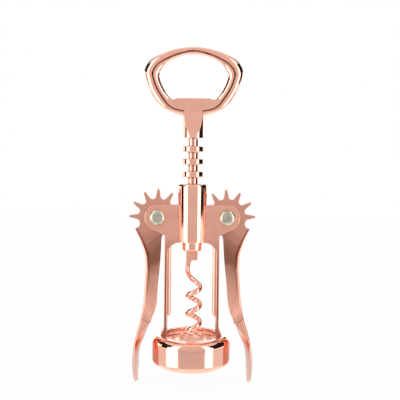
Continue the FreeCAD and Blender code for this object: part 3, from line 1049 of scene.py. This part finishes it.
def valleyArc(start, low, end, steps=6):
    # arc through three places
    (ax, az), (bx, bz), (cx, cz) = start, low, end
    d = 2 * (ax * (bz - cz) + bx * (cz - az) + cx * (az - bz))
    a, b, c = ax * ax + az * az, bx * bx + bz * bz, cx * cx + cz * cz
    centre = Vector(((a * (bz - cz) + b * (cz - az) + c * (az - bz)) / d,
                     (a * (cx - bx) + b * (ax - cx) + c * (bx - ax)) / d))
    first, last = Vector(start) - centre, Vector(end) - centre
    sweep = atan2(first.x * last.y - first.y * last.x, first.dot(last))
    points = []
    for k in range(1, steps):
        spoke = Matrix.Rotation(sweep * k / steps, 2) @ first
        points.append((centre.x + spoke.x, centre.y + spoke.y))
    return points


def smoothLine(points, perSpan=4):
    # more places along a curve through points, ends included
    line = []
    for i in range(len(points) - 1):
        p0 = Vector(points[max(i - 1, 0)])
        p1, p2 = Vector(points[i]), Vector(points[i + 1])
        p3 = Vector(points[min(i + 2, len(points) - 1)])
        for k in range(perSpan):
            t = k / perSpan
            place = 0.5 * (2 * p1 + (p2 - p0) * t + (2 * p0 - 5 * p1 + 4 * p2 - p3) * t ** 2
                           + (3 * p1 - p0 - 3 * p2 + p3) * t ** 3)
            line.append((place.x, place.y))
    line.append(tuple(points[-1]))
    return line


def wingOutline(size):
    tip, flank, valley = size["tip"], size["flank"], size["valley"]
    tipHalf = size["tipWidth"] / 2 / tip * 180 / pi
    rootHalf = size["rootWidth"] / 2 / flank * 180 / pi
    crown, crownHalf = tip - size["tipFall"], tipHalf * size["tipShare"]
    shoulder = tip - size["tipRound"]
    tooth = [(shoulder, -tipHalf), (crown, -crownHalf), (tip, 0), (crown, crownHalf), (shoulder, tipHalf),
             (flank, rootHalf)]
    outline = []
    for k in range(size["teeth"]):
        turn = size["firstTooth"] + k * size["toothStep"]
        root = wingPolar(size, flank, turn - rootHalf)
        if outline:
            low = wingPolar(size, valley, turn - size["toothStep"] / 2)
            outline += valleyArc(outline[-1], low, root)
        outline.append(root)
        outline += [wingPolar(size, radius, turn + aside) for radius, aside in tooth]
    cornerRadius, cornerTurn, valleyTurn = size["corner"]
    corner = wingPolar(size, cornerRadius, cornerTurn)
    outline += valleyArc(outline[-1], wingPolar(size, valley, valleyTurn), corner)
    outline.append(corner)
    outline += smoothLine(size["webOuter"])
    outline += smoothLine(size["webInner"])
    heel = size["heel"]
    under = size["firstTooth"] - rootHalf - size["heelGap"]
    outline += [wingPolar(size, valley, heel + (under - heel) * k / 8) for k in range(9)]
    return outline


def dishDepth(size, x, z):
    lowX, lowZ, steep = size["dishLow"]
    return follow(size["dish"], z - lowZ - steep * abs(x - lowX))


def wingWeb(size):
    # toothed plate and dished arm
    piece = extrudeLoop(drawLoop("wingWeb", wingOutline(size)), size["half"], size["edge"], 2)
    editAll(piece)
    start, step, count = size["webUp"]
    for k in range(count):
        cutFlat((0, 0, (start + step * k) * mm), (0, 0, 1))
    start, step, count = size["webAcross"]
    for k in range(count):
        cutFlat(((start + step * k) * mm, 0, 0), (1, 0, 0))
    bpy.ops.object.mode_set(mode="OBJECT")
    for vertex in piece.data.vertices:
        x, z = vertex.co.x / mm, vertex.co.z / mm
        if z < size["dishTop"]:
            vertex.co.y *= dishDepth(size, x, z) / size["half"]
    x, z = size["pivot"]
    reach = size["boreHalf"]
    return combine(piece, crossCylinder(size["bore"], x, z, -reach, reach, 48), "DIFFERENCE")


def bow(f, soft):
    # 0 in the middle of the bar and 1 at its front and back, nearly straight between
    return (sqrt(f * f + soft * soft) - soft) / (sqrt(1 + soft * soft) - soft)


def barSection(size, z):
    outer, inner = follow(size["barOuter"], z), follow(size["barInner"], z)
    noseOuter, noseInner = follow(size["noseOuter"], z), follow(size["noseInner"], z)
    half = follow(size["barHalf"], z)
    room = noseOuter - noseInner
    # neither rounding takes up more than a share of the width and of the depth
    outSoft = min(size["outerRound"], 0.7 * room, 0.6 * half)
    inSoft = min(size["innerRound"], 0.25 * room, 0.3 * half)
    near = []
    for degree in (0, 22, 45, 67, 90):
        angle = radians(degree)
        near.append((noseOuter - outSoft * (1 - cos(angle)), half - outSoft * (1 - sin(angle))))
    for degree in (90, 120, 150, 180):
        angle = radians(degree)
        near.append((noseInner + inSoft * (1 + cos(angle)), half - inSoft * (1 - sin(angle))))
    soft = size["bowRound"]
    loop = []
    for k in range(1, 8):
        f = -1 + k / 4
        loop.append((outer - (outer - noseOuter) * bow(f, soft), f * (half - outSoft), z))
    loop += [(x, y, z) for x, y in near]
    for k in range(1, 8):
        f = 1 - k / 4
        loop.append((inner + (noseInner - inner) * bow(f, soft), f * (half - inSoft), z))
    loop += [(x, -y, z) for x, y in reversed(near)]
    loop.append(loop[0])
    return loop


def wingBar(size):
    # raised outer lip of the arm, which widens into the thumb paddle
    heights = size["barTop"] + [70 - 1.5 * k for k in range(25)]
    heights += [33 - k for k in range(39)] + size["barTip"]
    return drawGrid("wingBar", [barSection(size, z) for z in heights])


def wing(size, name):
    web = wingWeb(size)
    giveMaterial(web, wingSatin)
    bar = wingBar(size)
    giveMaterial(bar, satin, paddled)
    for face in bar.data.polygons:
        if face.center.z < size["paddleTop"] * mm:
            face.material_index = 1
    piece = combine(web, bar)
    piece.name = name
    shadePiece(piece, 30, True)
    return piece


def hangOut(piece, size):
    pivot = Vector((size["pivot"][0], 0, size["pivot"][1])) * mm
    turn = Matrix.Rotation(radians(size["hang"]), 4, Vector((0, -1, 0)))
    piece.data.transform(Matrix.Translation(pivot) @ turn @ Matrix.Translation(-pivot))
    piece.data.update()


rightWing = wing(wingSize, "rightWing")
leftWing = twin(rightWing, "leftWing")
hangOut(rightWing, wingSize)
handOver(rightWing, "right_lever", "satin_copper_plate", "right_lever")
handOver(leftWing, "left_lever", "satin_copper_plate", "left_lever")
print("wings made")


# rivets
rivetSize = {
    "pivot": pivotPlace,
    "plateHalf": clevisHalf,
    "shank": 2.0,
    "front": [(4.35, 0.0), (4.35, 0.32), (4.2, 0.72), (3.85, 1.12), (3.3, 1.44), (2.5, 1.68), (1.5, 1.83),
              (0.0, 1.9)],
    "back": [(3.6, 0.0), (3.6, 0.28), (3.4, 0.62), (2.9, 0.93), (2.1, 1.15), (1.1, 1.27), (0.0, 1.3)],
}


def rivet(size, name, x):
    # turned about Z with its front head down, then laid along Y
    base = size["plateHalf"]
    outline = [(radius, -base - rise) for radius, rise in reversed(size["front"])]
    outline += [(size["shank"], -base), (size["shank"], base)]
    outline += [(radius, base + rise) for radius, rise in size["back"]]
    piece = turned(name, outline, 64)
    return placeMesh(piece, -pi / 2, "X", (x, 0, size["pivot"][1]))


for side, name in ((-1, "leftRivet"), (1, "rightRivet")):
    head = rivet(rivetSize, name, side * rivetSize["pivot"][0])
    giveMaterial(head, nickel)
    shadePiece(head, 50)
    handOver(head, "frame", "rivet_nickel", "left_rivet" if side < 0 else "right_rivet")
print("rivets made")


# floor, studio and camera
studioSize = {
    "floorZ": -9.95,
    "floorReach": 4000,
    "distance": 2600,
    "wallDistance": 2700,
    "lowCard": -3000,
}


def bareMaterial(name):
    # a material with nothing but its output, whose surface comes back too
    material = bpy.data.materials.new(name)
    material.use_nodes = True
    tree = material.node_tree
    tree.nodes.clear()
    return material, tree, tree.nodes.new("ShaderNodeOutputMaterial").inputs["Surface"]


def glow(name, *stops):
    # light of a card: one strength, or (height, strength) stops
    material, tree, surface = bareMaterial(name)
    strength = stops[0]
    if len(stops) > 1:
        place = tree.nodes.new("ShaderNodeTexCoord").outputs["Object"]
        strength = addProfile(tree, splitPlace(tree, place)[2], stops)
    tree.links.new(addNode(tree, "Emission", {"Strength": strength}).outputs[0], surface)
    return material


def seenRays(tree):
    # 1 for camera, glossy and transmitted rays
    rays = tree.nodes.new("ShaderNodeLightPath").outputs
    total = rays["Is Camera Ray"]
    for name in ("Is Glossy Ray", "Is Transmission Ray"):
        total = addMath(tree, "MAXIMUM", total, rays[name])
    return total


def floorPaper():
    # nearly all glow where it is seen, so that it is white, and matt for the light on it
    material, tree, surface = bareMaterial("floorPaper")
    share = addMath(tree, "MULTIPLY", seenRays(tree), 0.95)
    matt = addNode(tree, "BsdfDiffuse", {"Color": (0.9, 0.9, 0.9, 1)})
    light = addNode(tree, "Emission", {})
    mix = tree.nodes.new("ShaderNodeMixShader")
    for source, socket in zip((share, matt.outputs[0], light.outputs[0]), mix.inputs):
        tree.links.new(source, socket)
    tree.links.new(mix.outputs[0], surface)
    return material


def mirroredOnly(card):
    # the plating mirrors the card, and nothing else sees it
    for rays in ("camera", "diffuse", "shadow", "transmission", "volume_scatter"):
        setattr(card, "visible_" + rays, False)


def studioCard(name, azimuths, heights, distance, material):
    # upright curved card round the object, azimuth 0 in front and positive to the right
    rows = []
    for z in heights:
        row = []
        for k in range(13):
            angle = radians(azimuths[0] + (azimuths[1] - azimuths[0]) * k / 12)
            row.append((distance * sin(angle), -distance * cos(angle), z))
        rows.append(row)
    deselectAll()
    bpy.ops.mesh.primitive_grid_add(x_subdivisions=12, y_subdivisions=1)
    card = bpy.context.active_object
    card.name = name
    layPoints(card, rows)
    giveMaterial(card, material)
    mirroredOnly(card)
    return card


deselectAll()
bpy.ops.mesh.primitive_plane_add(size=studioSize["floorReach"] * mm, location=(0, 0, 0))
floor = placeMesh(bpy.context.active_object, move=(0, 0, studioSize["floorZ"]))
floor.name = "floor"
giveMaterial(floor, floorPaper())
floor.visible_glossy = False     # the plating mirrors the studio below the floor's edge too

greyWall = glow("greyWall", (-3000, 1.4), (-1750, 1.4), (-1150, 0.64), (-627, 0.69), (-260, 0.75),
                (-57, 0.78), (95, 0.79), (560, 0.8), (650, 0.88), (860, 0.88), (1000, 0.84), (5600, 0.84))
softBox = glow("softBox", 3.0)
blackCloth = glow("blackCloth", 0.015)
greyCloth = glow("greyCloth", 0.3)
sideWall = glow("sideWall", (-3000, 1.4), (-1750, 1.4), (-1150, 0.9), (-640, 0.9), (-500, 1.2), (-100, 1.5),
                (905, 1.7))
cards = [
    # name, left and right edge in degrees, foot and top in millimetres, light
    ("frontWall", -38, 41, -3000, 5600, greyWall),
    ("leftBox", -70, -38, -1300, 905, softBox),
    ("leftBoxLow", -75, -70, -1300, -420, softBox),
    ("rightBox", 41, 65, -1300, 905, softBox),
    ("leftBoxTop", -62, -38, 906, 3700, softBox),
    ("rightBoxTop", 41, 60, 906, 3700, softBox),
    ("leftFlag", -93, -71, -150, 905, blackCloth),
    ("rightFlag", 66, 128, 60, 905, blackCloth),
    ("rightStrip", 66, 92, -100, 59, blackCloth),
    ("rightShade", 92, 128, -100, 59, greyCloth),
    ("leftAbove", -160, -62, 906, 2600, blackCloth),
    ("rightAbove", 60, 165, 906, 2600, blackCloth),
    ("leftWall", -180, -70, -3000, 905, sideWall),
    ("rightWall", 65, 180, -3000, 905, sideWall),
]
for name, left, right, foot, top, light in cards:
    distance = studioSize["wallDistance" if light == sideWall else "distance"]
    studioCard(name, (left, right), (foot, top), distance, light)

deselectAll()
bpy.ops.mesh.primitive_circle_add(vertices=48, radius=studioSize["wallDistance"] * mm, fill_type="NGON",
                                  location=(0, 0, studioSize["lowCard"] * mm))
lowCard = bpy.context.active_object
lowCard.name = "lowCard"
giveMaterial(lowCard, glow("lowGlow", 1.4))
mirroredOnly(lowCard)

world = bpy.data.worlds.new("studio")
bpy.context.scene.world = world
world.use_nodes = True
sky = world.node_tree.nodes["Background"]
sky.inputs["Color"].default_value = (1, 1, 1, 1)
sky.inputs["Strength"].default_value = 1

cameraSize = {
    "place": (0.0, -295.7, 95.0),
    "lens": 48.6,
    "tilt": -1.0,
    "roll": -0.6,
    "shiftX": 0.0185,
}

bpy.ops.object.camera_add(location=Vector(cameraSize["place"]) * mm,
                          rotation=(radians(90 + cameraSize["tilt"]), radians(cameraSize["roll"]), 0))
camera = bpy.context.active_object
camera.data.lens = cameraSize["lens"]
camera.data.sensor_width = 36
camera.data.shift_x = cameraSize["shiftX"]
camera.data.clip_start = 0.01
bpy.context.scene.camera = camera
bpy.context.scene.view_settings.view_transform = "Standard"
print("studio made")
